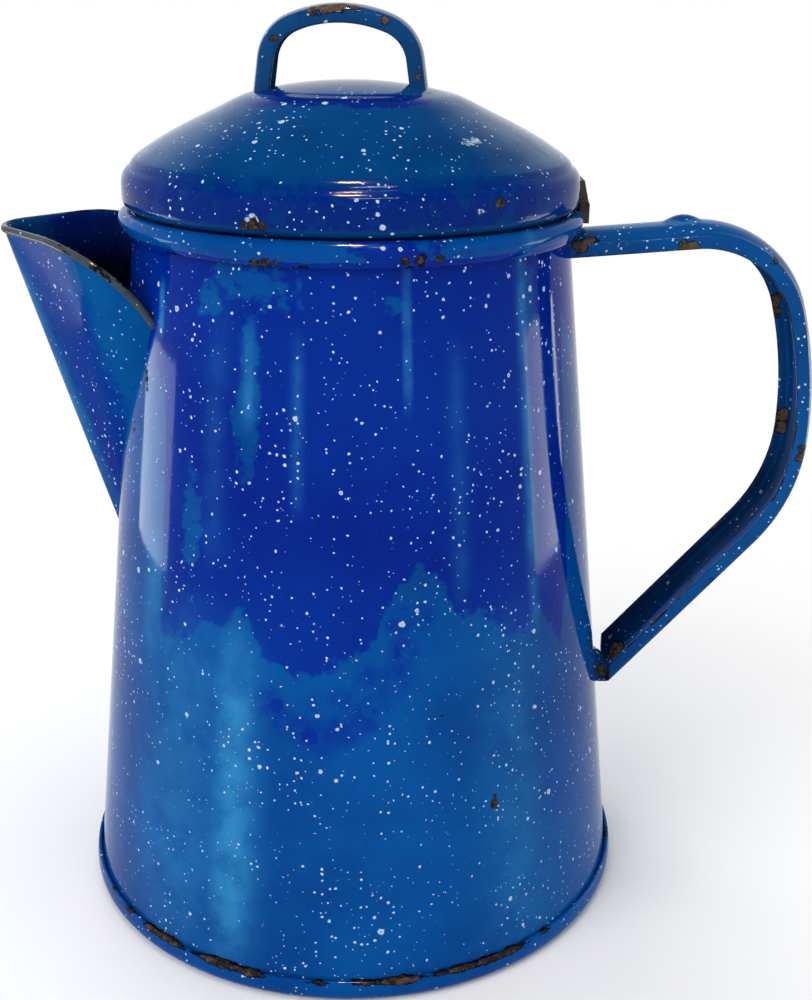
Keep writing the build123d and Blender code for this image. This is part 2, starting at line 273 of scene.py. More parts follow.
def punch_strainer(obj, finish):
    """Punches the strainer's triangle of holes through the wall behind the spout."""
    places = [(-55.0, PUNCH_PITCH * (k - (row + 1) / 2), PUNCH_LOW + PUNCH_PITCH * row)
              for row in range(PUNCH_ROWS) for k in range(row + 2)]
    punches = grown(mesh_object("strainer_places", places, []), STRAINER, "strainer_punches",
                    **{"Punch Radius": PUNCH_RADIUS * MM, "Punch Length": 20 * MM, "Finish": finish})
    cut = obj.modifiers.new("punched", "BOOLEAN")
    cut.operation, cut.solver, cut.object = "DIFFERENCE", "MANIFOLD", punches
    mesh = made_plain(obj)
    obj.modifiers.clear()
    obj.data = mesh
    bpy.data.objects.remove(punches)
    obj.data.shade_smooth()
    obj.data.set_sharp_from_angle(angle=math.radians(50))


# Profiles of the turned sheets

def rim_face(stand):
    """Points from the neck over the crest to the free edge, a distance outside the inner face."""
    crest_x = NECK_RADIUS + ROLL_RADIUS
    roll = arc(crest_x, RIM - SHEET - ROLL_RADIUS, ROLL_RADIUS + stand, 180, 90, 9)
    swell = arc(crest_x, RIM - SHEET - SWELL_RADIUS, SWELL_RADIUS + stand, 90, 90 - SWELL_TURN, 15)
    lean = math.radians(SWELL_TURN - 90)
    hem = run(swell[-1], swell[-1] - HEM_LENGTH * np.array([math.sin(lean), math.cos(lean)]), 0.6)
    return joined(roll, swell, hem)


def wall_profile():
    """Closed outline of the wall's sheet."""
    foot, cone_top = wall_radius(WALL_FOOT), NECK_HEIGHT - 1
    outside = joined(run((foot, WALL_FOOT), (wall_radius(cone_top), cone_top), 1.5),
                     (NECK_RADIUS + 0.02, NECK_HEIGHT),
                     run((NECK_RADIUS, NECK_HEIGHT + 1), (NECK_RADIUS, ROLL_START), 0.8))
    hidden, shown = rim_face(0), rim_face(SHEET)
    middle = (hidden[-1] + shown[-1]) / 2
    edge_angle = math.degrees(math.atan2(*(hidden[-1] - middle)[::-1]))
    edge = arc(*middle, SHEET / 2, edge_angle, edge_angle + 180, 7)[1:-1]
    inside = joined(run((NECK_RADIUS - SHEET, ROLL_START), (NECK_RADIUS - SHEET, NECK_HEIGHT), 1.5),
                    run((NECK_RADIUS - SHEET, cone_top), (foot - SHEET, WALL_FOOT), 6.0))
    return joined(outside, hidden, edge, shown[::-1], inside)


def pan_profile():
    """Outline of the base pan from the axis under the base round the bead and back inside."""
    curl = FOOT_RADIUS - FOOT_CURL
    under = joined(run((0, 0), (curl - 1, 0), 6.0), arc(curl, FOOT_CURL, FOOT_CURL, -90, 0, 12),
                   arc(FOOT_RADIUS - BEAD_CROWN, BEAD_MIDDLE, BEAD_CROWN, 2, 15, 6))
    lip = under[-1] + np.array([-SHEET / 2, 0.1])
    edge = arc(lip[0], lip[1], SHEET / 2, 0, 180, 7)
    inner = joined(edge[-1], (FOOT_RADIUS - SHEET - 0.1, 3.0),
                   arc(curl, FOOT_CURL, FOOT_CURL - SHEET, 0, -90, 8), run((curl - 1, SHEET), (0, SHEET), 6.0))
    return joined(under, edge, inner)


def lid_face():
    """Outer face of the lid from its middle to the end of the skirt."""
    disc = arc(0, LID_TOP - DISC_BOW, DISC_BOW, 90, DISC_EDGE_ANGLE, 16)
    dome = smooth_through(np.array([disc[-1], *DOME_KNOTS]), 96)
    turn_x, turn_z = LID_RADIUS - LID_TURN, LID_SEAT + LID_TURN
    bend_x, bend_z = SKIRT_RADIUS + SKIRT_BEND, LID_SEAT - SKIRT_BEND
    side = run(DOME_KNOTS[-1], (LID_RADIUS, turn_z), 0.7)
    turn = arc(turn_x, turn_z, LID_TURN, 0, -90, 14)
    flat = run((turn_x, LID_SEAT), (bend_x, LID_SEAT), 0.5)
    skirt = joined(arc(bend_x, bend_z, SKIRT_BEND, 90, 180, 6),
                   run((SKIRT_RADIUS, bend_z), (SKIRT_RADIUS - 0.3, SKIRT_END), 1.2))
    return joined(disc, dome, side, turn, flat, skirt)


def smooth_through(knots, count):
    """Points on a smooth line through the knots (centripetal Catmull-Rom)."""
    p = np.vstack([2 * knots[0] - knots[1], knots, 2 * knots[-1] - knots[-2]])
    t = np.concatenate([[0], np.cumsum(np.linalg.norm(np.diff(p, axis=0), axis=1) ** 0.5)])
    out = []
    for s in np.linspace(t[1], t[-2], count):
        k = min(max(np.searchsorted(t, s) - 1, 1), len(p) - 3)

        def between(i, j, one, other):
            return ((t[j] - s) * one + (s - t[i]) * other) / (t[j] - t[i])

        before, here, after = (between(i, i + 1, p[i], p[i + 1]) for i in (k - 1, k, k + 1))
        out.append(between(k, k + 1, between(k - 1, k + 1, before, here), between(k, k + 2, here, after)))
    return np.array(out)


def offset_inside(chain, distance):
    """The chain moved to its right side."""
    d = np.gradient(chain, axis=0)
    d /= np.linalg.norm(d, axis=1)[:, None]
    return chain + distance * np.stack([d[:, 1], -d[:, 0]], 1)


def lid_profile():
    """Outline of the lid's sheet, open at the axis."""
    outer = lid_face()
    inner = offset_inside(outer, SHEET)
    inner[0] = (0, LID_TOP - SHEET)
    return joined(outer, inner[::-1])


# Spout

def spout_half(z, count):
    """Half plan of the spout's outside at a height, from the crease to the back."""
    share = (SPOUT_RIM - z) / (SPOUT_RIM - SPOUT_FOOT + SPOUT_RUN_OUT)
    full = SPOUT_HALF_WIDTH * (1 - max(share, 0) ** SPOUT_NARROWING)
    foot_x = wall_radius(SPOUT_FOOT) + SHEET
    crease = foot_x + (z - SPOUT_FOOT) * (TIP_X - foot_x) / (SPOUT_RIM - SPOUT_FOOT)
    half_angle = SPOUT_HALF_ANGLE
    nose = SPOUT_NOSE * full / SPOUT_HALF_WIDTH
    centre = -crease + nose
    shoulder = full * SPOUT_SHOULDER
    tangent = math.pi / 2 - half_angle
    nose_points = [(centre - nose * math.cos(a), nose * math.sin(a))
                   for a in np.linspace(0, tangent, count[0])]
    apex = -crease - nose * (1 / math.sin(half_angle) - 1)
    corner = np.array([apex + full / math.tan(half_angle), full])
    setback = shoulder * math.tan(half_angle / 2)
    first = corner - setback * np.array([math.cos(half_angle), math.sin(half_angle)])
    hub = np.array([corner[0] + setback, full - shoulder])
    turn = [hub + shoulder * np.array([-math.sin(half_angle - a), math.cos(half_angle - a)])
            for a in np.linspace(0, half_angle, count[2])]
    side = run(nose_points[-1], first, 1)[[0, -1]]
    flank = [side[0] + f * (side[1] - side[0]) for f in np.linspace(0, 1, count[1] + 2)[1:-1]]
    behind = np.array([SPOUT_BACK, full])
    back = [turn[-1] + f * (behind - turn[-1]) for f in np.linspace(0, 1, count[3] + 1)[1:]]
    return np.array([*nose_points, *flank, *turn, *back])


def lip_height(x):
    """Height of the spout's lip: level at the tip, then a bowed fall to the wall."""
    start, end = np.array(LIP_START), np.array(LIP_END)
    chord = end - start
    length = np.linalg.norm(chord)
    radius = (length ** 2 / 4 + LIP_BOW ** 2) / (2 * LIP_BOW)
    downwards = np.array([chord[1], -chord[0]]) / length
    centre = (start + end) / 2 + downwards * (radius - LIP_BOW)
    inner = np.clip(radius ** 2 - (x - centre[0]) ** 2, 0, None)
    return np.where(x < start[0], start[1], centre[1] + np.sqrt(inner))


SPOUT_COUNT = (9, 34, 14, 20)


def spout_grid():
    """Lines up the spout's outside, from the wall to the lip, for one side."""
    heights = np.linspace(SPOUT_FOOT - 5, SPOUT_RIM + 1, 160)
    table = np.array([spout_half(z, SPOUT_COUNT) for z in heights])
    lines = []
    for u in np.linspace(0, table.shape[1] - 1, 2 * table.shape[1] - 1):
        k = min(int(u), table.shape[1] - 2)
        f = u - k
        x = table[:, k, 0] * (1 - f) + table[:, k + 1, 0] * f
        y = table[:, k, 1] * (1 - f) + table[:, k + 1, 1] * f
        outside = np.hypot(x, y) - (np.array([wall_radius(z) for z in heights]) - 0.6)
        under = lip_height(x) - heights
        inside_form = (outside > 0) & (under > 0)
        if not inside_form.any():
            break
        low = np.flatnonzero(inside_form)[0]
        high = np.flatnonzero(inside_form)[-1]
        bottom, top = heights[low], heights[high]
        if low > 0:
            bottom = np.interp(0, [outside[low - 1], outside[low]], heights[low - 1:low + 1])
        if high + 1 < len(heights):
            top = np.interp(0, [under[high + 1], under[high]], heights[[high + 1, high]])
        z = bottom + (top - bottom) * np.linspace(0, 1, 60)
        lines.append(np.stack([np.interp(z, heights, x), np.interp(z, heights, y), z], 1))
    return np.array(lines)


def spout_piece(finish):
    """Folded spout of one sheet, open at the lip, and the line of its lip."""
    half = spout_grid()
    mirror = half[:0:-1] * np.array([1, -1, 1])
    grid = np.concatenate([mirror, half])
    rows, cols = grid.shape[:2]
    faces = [(i * cols + j, (i + 1) * cols + j, (i + 1) * cols + j + 1, i * cols + j + 1)
             for i in range(rows - 1) for j in range(cols - 1)]
    obj = mesh_object("spout_sheet", grid.reshape(-1, 3), faces)
    with edited(obj) as bm:
        bmesh.ops.recalc_face_normals(bm, faces=bm.faces)
        foremost = min(bm.faces, key=lambda f: f.calc_center_median().x)
        if foremost.normal.x > 0:
            bmesh.ops.reverse_faces(bm, faces=bm.faces)
    thick = obj.modifiers.new("sheet", "SOLIDIFY")
    thick.thickness, thick.offset = SHEET * MM, -1
    mesh = made_plain(obj)
    obj.modifiers.clear()
    obj.data = mesh
    obj.data.shade_smooth()
    obj.data.materials.append(finish)
    return obj, grid[:, -1]


def tube(name, line, radii, finish, sides=14):
    """Round-edged roll along a line in millimetres, closed at both ends."""
    line = np.asarray(line, float)
    tangent = np.gradient(line, axis=0)
    tangent /= np.linalg.norm(tangent, axis=1)[:, None]
    up = np.array([0, 0, 1.0])
    across = np.cross(tangent, up)
    across /= np.linalg.norm(across, axis=1)[:, None]
    rise = np.cross(across, tangent)
    turn = np.linspace(0, 2 * np.pi, sides, endpoint=False)
    ring = (line[:, None] + across[:, None] * (radii[0] * np.cos(turn))[None, :, None]
            + rise[:, None] * (radii[1] * np.sin(turn))[None, :, None])
    count = len(line)
    around = [(j, (j + 1) % sides) for j in range(sides)]
    faces = [(i * sides + j, i * sides + k, (i + 1) * sides + k, (i + 1) * sides + j)
             for i in range(count - 1) for j, k in around]
    faces += [tuple(range(sides)), tuple((count - 1) * sides + j for j in range(sides))]
    obj = mesh_object(name, ring.reshape(-1, 3), faces)
    tidy_mesh(obj)
    obj.data.materials.append(finish)
    return obj


# Straps

def strap_section(width, depth, full_crown, corner, thickness):
    """Closed outline of the channel strap: across and depth, its crown at the origin."""
    def shell(half, top, low, radius):
        crown = full_crown * (2 * half / width) ** 2
        reach = half - radius
        back = [(x, top - crown * (x / half) ** 2) for x in np.linspace(-reach, reach, 21)]
        drop = back[0][1] - radius
        left = arc(-reach, drop, radius, 180, 90, 7)[:-1]
        right = arc(reach, drop, radius, 90, 0, 7)[1:]
        return joined(run((-half, low), (-half, drop), 0.8), left, back, right,
                      run((half, drop), (half, low), 0.8))
    edge = thickness / 2
    low = -depth + edge
    outer = shell(width / 2, 0, low, corner)
    inner = shell(width / 2 - thickness, -thickness, low, corner - edge)
    right_edge = arc(width / 2 - edge, low, edge, 0, -180, 6)[1:-1]
    left_edge = arc(-width / 2 + edge, low, edge, 0, -180, 6)[1:-1]
    return joined(outer, right_edge, inner[::-1], left_edge)


def path_of(start, heading, pieces, step):
    """Points in the XZ plane along straight runs and clockwise bends, and the headings there.

    A piece is the length of a run and 0, or the radius of a bend and its turn in degrees.
    """
    x, z = start
    angle = math.radians(heading)
    points, headings = [(x, z)], [angle]
    for size, degrees in pieces:
        turn = math.radians(degrees)
        count = max(3, int(size * turn / step)) if turn else max(2, int(size / step))
        hub_x, hub_z = x + size * math.sin(angle), z - size * math.cos(angle)
        for _ in range(count):
            if turn:
                angle -= turn / count
                x, z = hub_x - size * math.sin(angle), hub_z + size * math.cos(angle)
            else:
                x, z = x + math.cos(angle) * size / count, z + math.sin(angle) * size / count
            points.append((x, z))
            headings.append(angle)
    return np.array(points), np.array(headings)


def strap(name, path, section, finish):
    """Strap swept along a path in the XZ plane, its crown outwards."""
    line = np.stack([path[:, 0], np.zeros(len(path)), path[:, 1]], 1)
    flat = np.stack([section[:, 0], -section[:, 1], np.zeros(len(section))], 1)
    guide = chain_object(name + "_section", flat, True)
    obj = grown(chain_object(name + "_path", line, False), SWEPT_STRAP, name, Section=guide, Finish=finish)
    bpy.data.objects.remove(guide)
    tidy_mesh(obj)
    return obj


def cut_lower_end(obj, x, below):
    """Cuts the strap off upright at a distance from the axis, under a height, and closes the cut."""
    with edited(obj) as bm:
        low = [v for v in bm.verts if v.co.z < below * MM]
        held = set(low)
        geom = low + [e for e in bm.edges if held.issuperset(e.verts)]
        geom += [f for f in bm.faces if held.issuperset(f.verts)]
        cut = bmesh.ops.bisect_plane(bm, geom=geom, dist=1e-7, plane_co=(x * MM, 0, 0), plane_no=(-1, 0, 0),
                                     clear_outer=True)
        edges = [e for e in cut["geom_cut"] if isinstance(e, bmesh.types.BMEdge)]
        bmesh.ops.triangle_fill(bm, edges=edges, use_beauty=True)
        bmesh.ops.recalc_face_normals(bm, faces=bm.faces)


# Finishes

def linear(code):
    """Linear colour from an sRGB hex code."""
    parts = [int(code[i:i + 2], 16) / 255 for i in (1, 3, 5)]
    return tuple(c / 12.92 if c <= 0.04045 else ((c + 0.055) / 1.055) ** 2.4 for c in parts) + (1.0,)


def new_finish(name):
    """Empty material, its tree and the place in the object that it is read at."""
    material = bpy.data.materials.new(name)
    material.use_nodes = True
    tree = material.node_tree
    tree.nodes.clear()
    return material, tree, add_node(tree, "ShaderNodeTexCoord").outputs["Object"]


GLASS_IOR = 1.5
SOFT, COLOURS = {"interpolation_type": "SMOOTHSTEP"}, {"data_type": "RGBA"}
# Noises of the enamel: waves per metre, so 60 has lumps of 17 mm and 1500 of 0.7 mm, detail and roughness
NOISES = {"flow": (60, 3, 0.5), "rag": (330, 3, 0.6), "cloud": (24, 4, 0.6), "lumps": (150, 2, 0.5),
          "runs": (150, 3, 0.5), "gathering": (210, 4, 0.68), "fray": (1500, 1, 0.5), "crowd": (55, 2, 0.5),
          "soot": (90, 4, 0.6), "tear": (420, 3, 0.6), "grain": (1500, 2, 0.5), "wear": (140, 5, 0.62),
          "rust": (700, 4, 0.7), "peel": (130, 2, 0.5)}


def speckled_enamel(name, deep, pale, chips, rust_share=0.5, softness=1.0, splashes=(), sheen=0.045):
    """Fired vitreous enamel over iron, its deep and pale glazes run into each other.

    The vertex values say where a point lies, in the order that they are read. The first is above 0 in the deep
    glaze and below 0 in the pale one, and on the lid it also holds a painted reflection of the loop. The second
    is how far
    the enamel is paled: grey wear on the spout's lip, and painted reflections and highlights on the other
    pieces. The third is how far the deep glaze lies over the pale one, and round the lid's side how far painted
    shade and reflection darken it. The fourth is how near a worn edge is, and the fifth how far painted shade
    darkens insides, undersides and the handle's channel. A piece without a value has it at 0. Chips are places
    in millimetres, each with a radius, where the enamel has gone, and splashes are places of thick white.
    """
    material, tree, place = new_finish(name)
    add = partial(add_node, tree)
    given = {label: add("ShaderNodeAttribute", attribute_name=label).outputs["Fac"]
             for label in ("pool", "streak", "veil", "edge", "stain")}
    noise = {label: add("ShaderNodeTexNoise", {"Vector": place, "Scale": scale, "Detail": detail,
                                               "Roughness": rough})
             for label, (scale, detail, rough) in NOISES.items()}

    def laid_over(glaze, colour, label, kind, low, high, least):
        """A colour over the glaze by a vertex value, broken up by a kind of noise."""
        broken = add("ShaderNodeMapRange", [noise[kind], low, high, least, 1.0], **SOFT)
        share = add("ShaderNodeMath", [given[label], broken], operation="MULTIPLY")
        return add("ShaderNodeMix", [share, glaze, linear(colour)], **COLOURS)

    # The glazes meet in a lumpy line, with the fine ragged edge of a run that was fired where it stopped
    border, level = given["pool"], 0
    for kind, sway in (("flow", 9.0), ("rag", 9.0), ("lumps", 5.0)):
        border = add("ShaderNodeMath", [noise[kind], sway, border], operation="MULTIPLY_ADD")
        level += sway / 2
    pool = add("ShaderNodeMapRange", [border, level - softness, level + softness], **SOFT)
    fill = add("ShaderNodeMapRange", [noise["cloud"], 0.34, 0.66], **SOFT)
    pale_glaze, deep_glaze = (add("ShaderNodeMix", [fill, linear(pair[0]), linear(pair[1])], **COLOURS)
                              for pair in (pale, deep))
    glaze = add("ShaderNodeMix", [pool, pale_glaze, deep_glaze], **COLOURS)
    # Paling over the glaze: painted reflections and highlights as soft pale streaks on the wall, the lid, the
    # straps' crowns and the spout's crease, and grey wear on the spout's lip
    glaze = laid_over(glaze, pale[2], "streak", "runs", 0.3, 0.62, 0.45)
    # A thin veil of the deep glaze over the pale one, broken where it gathered in drops; round the lid's side
    # the same darkening is painted shade and reflection
    glaze = laid_over(glaze, deep[1], "veil", "gathering", 0.36, 0.6, 0.35)

    # White flecks of spattered enamel, thicker in some places: a fine dust with flecks of 0.1 to 0.4 mm radius
    # in cells of 1.5 mm, and drops of 0.15 to 0.8 mm radius with a thin middle in cells of 4.3 mm
    ragged = add("ShaderNodeVectorMath", [noise["fray"].outputs["Color"], (0.0005,) * 3, place],
                 operation="MULTIPLY_ADD")
    crowd = add("ShaderNodeMapRange", [noise["crowd"], 0.36, 0.62, 0.62, 1.15], **SOFT)
    layers = []
    for scale, smallest, spread, middle in ((680, 0.07, 0.17, 1.0), (230, 0.05, 0.115, 0.55)):
        cells = add("ShaderNodeTexVoronoi", {"Vector": ragged, "Scale": scale})
        drawn = add("ShaderNodeSeparateColor", [cells.outputs["Color"]])
        few_large = add("ShaderNodeMath", [drawn, 2.0], operation="POWER")
        size = add("ShaderNodeMath", [few_large, spread, smallest], operation="MULTIPLY_ADD")
        size = add("ShaderNodeMath", [crowd, size], operation="MULTIPLY")
        ratio = add("ShaderNodeMath", [cells, size], operation="DIVIDE")
        disc = add("ShaderNodeMapRange", [ratio, 0.7, 1.1, 0.9, 0.0], **SOFT)
        hollow = add("ShaderNodeMapRange", [ratio, 0.2, 0.6, middle, 1.0], **SOFT)
        layers.append(add("ShaderNodeMath", [disc, hollow], operation="MULTIPLY"))
    flecks = add("ShaderNodeMath", layers, operation="MAXIMUM")
    glaze = add("ShaderNodeMix", [flecks, glaze, linear("#C4D8F0")], **COLOURS)

    # Painted shade: near black laid inside the spout, deeper below its lip, inside the pot and the lid's skirt,
    # on the base pan's floor inside and under, and in the handle's channel
    glaze = laid_over(glaze, "#03060A", "stain", "soot", 0.25, 0.5, 0.8)

    # Chips: the black ground coat shows as a rim round bare iron that has rusted. Noise of up to 3.5 mm tears
    # their edges, and its mean of half that is added to their places
    tear = 3.5
    torn = add("ShaderNodeVectorMath", [noise["tear"].outputs["Color"], (tear * MM,) * 3, place],
               operation="MULTIPLY_ADD")

    def nearest_of(places):
        nearest = 9.0
        for *centre, radius in places:
            away = add("ShaderNodeVectorMath", [torn, [(c + tear / 2) * MM for c in centre]],
                       operation="DISTANCE")
            ratio = add("ShaderNodeMath", [away, radius * MM], operation="DIVIDE")
            nearest = add("ShaderNodeMath", [nearest, ratio], operation="MINIMUM")
        return nearest

    if splashes:
        splash = add("ShaderNodeMapRange", [nearest_of(splashes), 0.7, 1.1, 1.0, 0.0], **SOFT)
        grain = add("ShaderNodeMapRange", [noise["grain"], 0.36, 0.6], **SOFT)
        white = add("ShaderNodeMath", [splash, grain], operation="MULTIPLY")
        glaze = add("ShaderNodeMix", [white, glaze, linear("#A9BCCB")], **COLOURS)
    worn = add("ShaderNodeMath", [given["edge"], 0.55, noise["wear"]], operation="MULTIPLY_ADD")
    nearest = nearest_of(chips)
    bare, ring = (add("ShaderNodeMath", [add("ShaderNodeMapRange", [worn, *by_wear], **SOFT),
                                         add("ShaderNodeMapRange", [nearest, *by_chip, 1.0, 0.0], **SOFT)],
                      operation="MAXIMUM")
                  for by_wear, by_chip in (((0.97, 1.01), (0.8, 0.95)), ((0.91, 0.94), (0.95, 1.15))))
    redder = rust_share * 0.2
    rusty = add("ShaderNodeMapRange", [noise["rust"], 0.5 - redder, 0.78 - redder], **SOFT)
    rust = add("ShaderNodeMix", [rusty, linear("#1C1714"), linear("#5C4A3D")], **COLOURS)
    ground = add("ShaderNodeMix", [ring, glaze, linear("#060A18")], **COLOURS)
    surface = add("ShaderNodeMix", [bare, ground, rust], **COLOURS)

    # Glassy gloss with the slight orange peel of fired enamel, and dead where it has chipped
    gloss = add("ShaderNodeMapRange", [noise["cloud"], 0.3, 0.75, 0.05, 0.11], **SOFT)
    roughness = add("ShaderNodeMath", [bare, 0.6, gloss], operation="MULTIPLY_ADD")
    height = 0.0
    for layer, rise in ((bare, -1.0), (noise["peel"], 0.22), (flecks, 0.15)):
        height = add("ShaderNodeMath", [layer, rise, height], operation="MULTIPLY_ADD")
    relief = add("ShaderNodeBump", {"Height": height, "Strength": 0.5, "Distance": 0.25 * MM})
    shader = add("ShaderNodeBsdfPrincipled", {"Base Color": surface, "Roughness": roughness, "Normal": relief,
                                              "IOR": GLASS_IOR, "Specular IOR Level": sheen})
    add("ShaderNodeOutputMaterial", {"Surface": shader})
    return material


def iron(name, dark, light, metallic, roughness):
    """Bare or blackened iron, mottled and lightly rusted."""
    material, tree, place = new_finish(name)
    add = partial(add_node, tree)
    patches = add("ShaderNodeTexNoise", {"Vector": place, "Scale": 420.0, "Detail": 5.0, "Roughness": 0.65})
    share = add("ShaderNodeMapRange", [patches, 0.4, 0.68])
    colour = add("ShaderNodeMix", [share, linear(dark), linear(light)], **COLOURS)
    rough = add("ShaderNodeMapRange", [patches, 0.3, 0.7, roughness, roughness + 0.25])
    relief = add("ShaderNodeBump", {"Height": patches, "Strength": 0.4, "Distance": 0.2 * MM})
    shader = add("ShaderNodeBsdfPrincipled", {"Base Color": colour, "Metallic": metallic, "Roughness": rough,
                                              "Normal": relief})
    add("ShaderNodeOutputMaterial", {"Surface": shader})
    return material


# Where the enamel has chipped off, and where the spatter left thick white: place and radius in millimetres

RIM_CHIPS = ((-17.4, -49.3, 164.9, 1.1), (-15.2, -50.2, 164.9, 1.2), (-12.8, -50.9, 165.0, 0.9),
             (12.4, -51.0, 166.0, 1.0), (15.4, -50.4, 166.2, 1.3), (19.0, -49.0, 166.4, 1.0))
WALL_CHIPS = ((34.0, -53.5, 43.3, 1.2), (33.7, -53.7, 44.6, 0.8), (26.3, -53.2, 74.4, 0.5),
              (21.3, -56.4, 67.5, 0.5))
SEAM_CHIPS = ((-43.9, -30.1, 137.2, 0.9), (-43.9, -30.3, 135.4, 1.0), (-43.7, -30.6, 133.6, 0.8),
              (-48.6, -25.8, 122.7, 0.6), (-48.6, -25.9, 124.4, 0.6), (-48.7, -25.9, 126.0, 0.5))
SPOUT_CHIPS = ((-49.9, -23.5, 122.7, 0.6), (-49.5, -24.2, 125.5, 0.6), (-53.0, -16.0, 105.0, 0.7))
LID_CHIPS = ((-19.4, -48.7, 172.5, 0.9), (-17.6, -49.3, 172.4, 1.1), (-15.6, -50.0, 172.4, 1.0),
             (31.6, -41.6, 176.1, 1.2))
LID_SPLASHES = ((26.9, -28.6, 186.9, 1.2), (25.6, -30.0, 186.8, 1.4), (24.6, -31.9, 186.2, 0.9),
                (-17.6, -49.3, 173.6, 1.3), (27.5, -44.5, 174.6, 1.0))
LOOP_CHIPS = ((-7.9, -5.6, 212.1, 1.7), (-5.4, -5.6, 212.6, 2.0), (-2.4, -5.4, 212.9, 2.1),
              (0.6, -5.6, 212.8, 1.6), (7.5, -6.4, 210.0, 1.1), (-16.9, -6.5, 206.1, 0.9),
              (15.0, -6.4, 198.5, 0.7), (-2.0, 2.0, 213.5, 2.4))
HANDLE_CHIPS = ((75.9, -8.6, 162.1, 1.6), (77.9, -8.8, 161.9, 1.3), (97.5, -8.0, 159.1, 1.5),
                (99.3, -8.4, 157.4, 1.2), (102.5, 7.9, 146.7, 1.6), (102.7, 8.0, 143.9, 1.4),
                (107.3, 7.9, 117.4, 1.6), (107.3, 7.9, 114.4, 1.8), (107.8, -8.5, 114.2, 1.3),
                (107.7, -8.5, 111.9, 1.3), (54.5, -7.6, 163.8, 1.8), (52.3, -8.5, 162.1, 1.8),
                (68.6, 3.0, 53.9, 2.6), (65.1, -5.5, 52.4, 2.0), (89.0, -8.6, 77.5, 1.1),
                (80.5, -8.6, 67.0, 1.3))

# Dipped and spattered cobalt enamel on the sheet iron: glassy, deep above and paler where it ran thin below
pot_enamel = speckled_enamel("cobalt_speckled_enamel", ("#002084", "#002D90"),
                             ("#003F88", "#00509A", "#2E84BE"), WALL_CHIPS + RIM_CHIPS + SEAM_CHIPS)
# The same enamel handled more on the folded spout: its glazes blend softly, and it has lost most of its gloss
spout_enamel = speckled_enamel("spout_mottled_enamel", ("#012583", "#02338A"),
                               ("#003F86", "#085494", "#3480B4"), SPOUT_CHIPS, softness=4.0, sheen=0.005)
# Thinner enamel on the lid's dome, so the teal ground shows through it, and the grey on its shoulder is a
# painted reflection
lid_enamel = speckled_enamel("lid_teal_enamel", ("#001C74", "#012475"), ("#003468", "#00427C", "#4F7494"),
                             LID_CHIPS, splashes=LID_SPLASHES)
# Worn enamel on the loop, its crest rusty iron, and the grey blue along its crown is a painted reflection
loop_enamel = speckled_enamel("loop_chipped_enamel", ("#022866", "#06346C"), ("#063C70", "#10487C", "#4C6478"),
                              LOOP_CHIPS, rust_share=0.9)
# Worn enamel on the handle's strap, with rusty chips along its edges, and a grey blue for a painted reflection
# along its crown
strap_enamel = speckled_enamel("strap_chipped_enamel", ("#042C66", "#053870"),
                               ("#04407E", "#0A4F90", "#3F6F9A"), HANDLE_CHIPS, rust_share=0.9)
# Enamel rubbed through to its grey ground coat along the spout's lip
worn_lip = speckled_enamel("worn_lip_enamel", ("#26384A", "#333C42"), ("#2E485A", "#3E4848", "#5A5E5C"), (),
                           rust_share=1.0)
# Oil-blackened iron of the hinge: dead black with a breath of brown rust
black_iron = iron("black_hinge_iron", "#08090C", "#2A211B", 0.0, 0.45)
# Drawn steel wire of the hinge pin, dulled by damp: a dark metal sheen
pin_steel = iron("dull_pin_steel", "#2B2A29", "#4A3F36", 1.0, 0.4)

# Pieces of the pot

wall = turned("wall_sheet", wall_profile(), pot_enamel)
punch_strainer(wall, pot_enamel)
pan = turned("base_pan", pan_profile(), pot_enamel, closed=False)
dome = turned("lid_sheet", lid_profile(), lid_enamel, closed=False)
spout, lip_line = spout_piece(spout_enamel)
lip = tube("spout_lip", lip_line + np.array([0.3, 0, -0.45]), (0.78, 0.84), worn_lip)

RISE = math.radians(HANDLE_RISE)
TOP_START = np.array([NECK_RADIUS, 164.51])
SUNK = 0.8
handle_path, handle_heading = path_of((NECK_RADIUS - SUNK, TOP_START[1] - SUNK * math.tan(RISE)), HANDLE_RISE,
                                      ((HANDLE_TOP_RUN, 0), *HANDLE_BENDS, (HANDLE_LOW_RUN, 0)), 0.9)
handle_section = strap_section(HANDLE_WIDTH, HANDLE_DEPTH, HANDLE_CROWN, HANDLE_CORNER, HANDLE_SHEET)
handle = strap("handle_strap", handle_path, handle_section, strap_enamel)
last = handle_path[-1]
down = np.array([math.cos(handle_heading[-1]), math.sin(handle_heading[-1])])
beyond = last[0] - wall_radius(last[1]) - HANDLE_FOOT_GAP
cut_end = last - down * beyond / (down[0] + down[1] * WALL_SLOPE)


def press_bump(obj, centre, radius, height):
    """Presses the round thumb rest up out of the strap's top run."""
    points = points_of(obj)
    along = (points[:, 0] - centre[0]) / math.cos(RISE)
    away = np.hypot(along, points[:, 1]) / radius
    on_top = points[:, 2] > centre[1] - 3 + along * math.sin(RISE)
    lift = np.where((away < 1) & on_top, height * (1 - np.clip(away, 0, 1) ** 2) ** 1.3, 0)
    points[:, 0] -= lift * math.sin(RISE)
    points[:, 2] += lift * math.cos(RISE)
    move_points(obj, points)


bump_centre = TOP_START + BUMP_ALONG * np.array([math.cos(RISE), math.sin(RISE)])
press_bump(handle, bump_centre, BUMP_RADIUS, BUMP_HEIGHT)
cut_lower_end(handle, cut_end[0], 100.0)


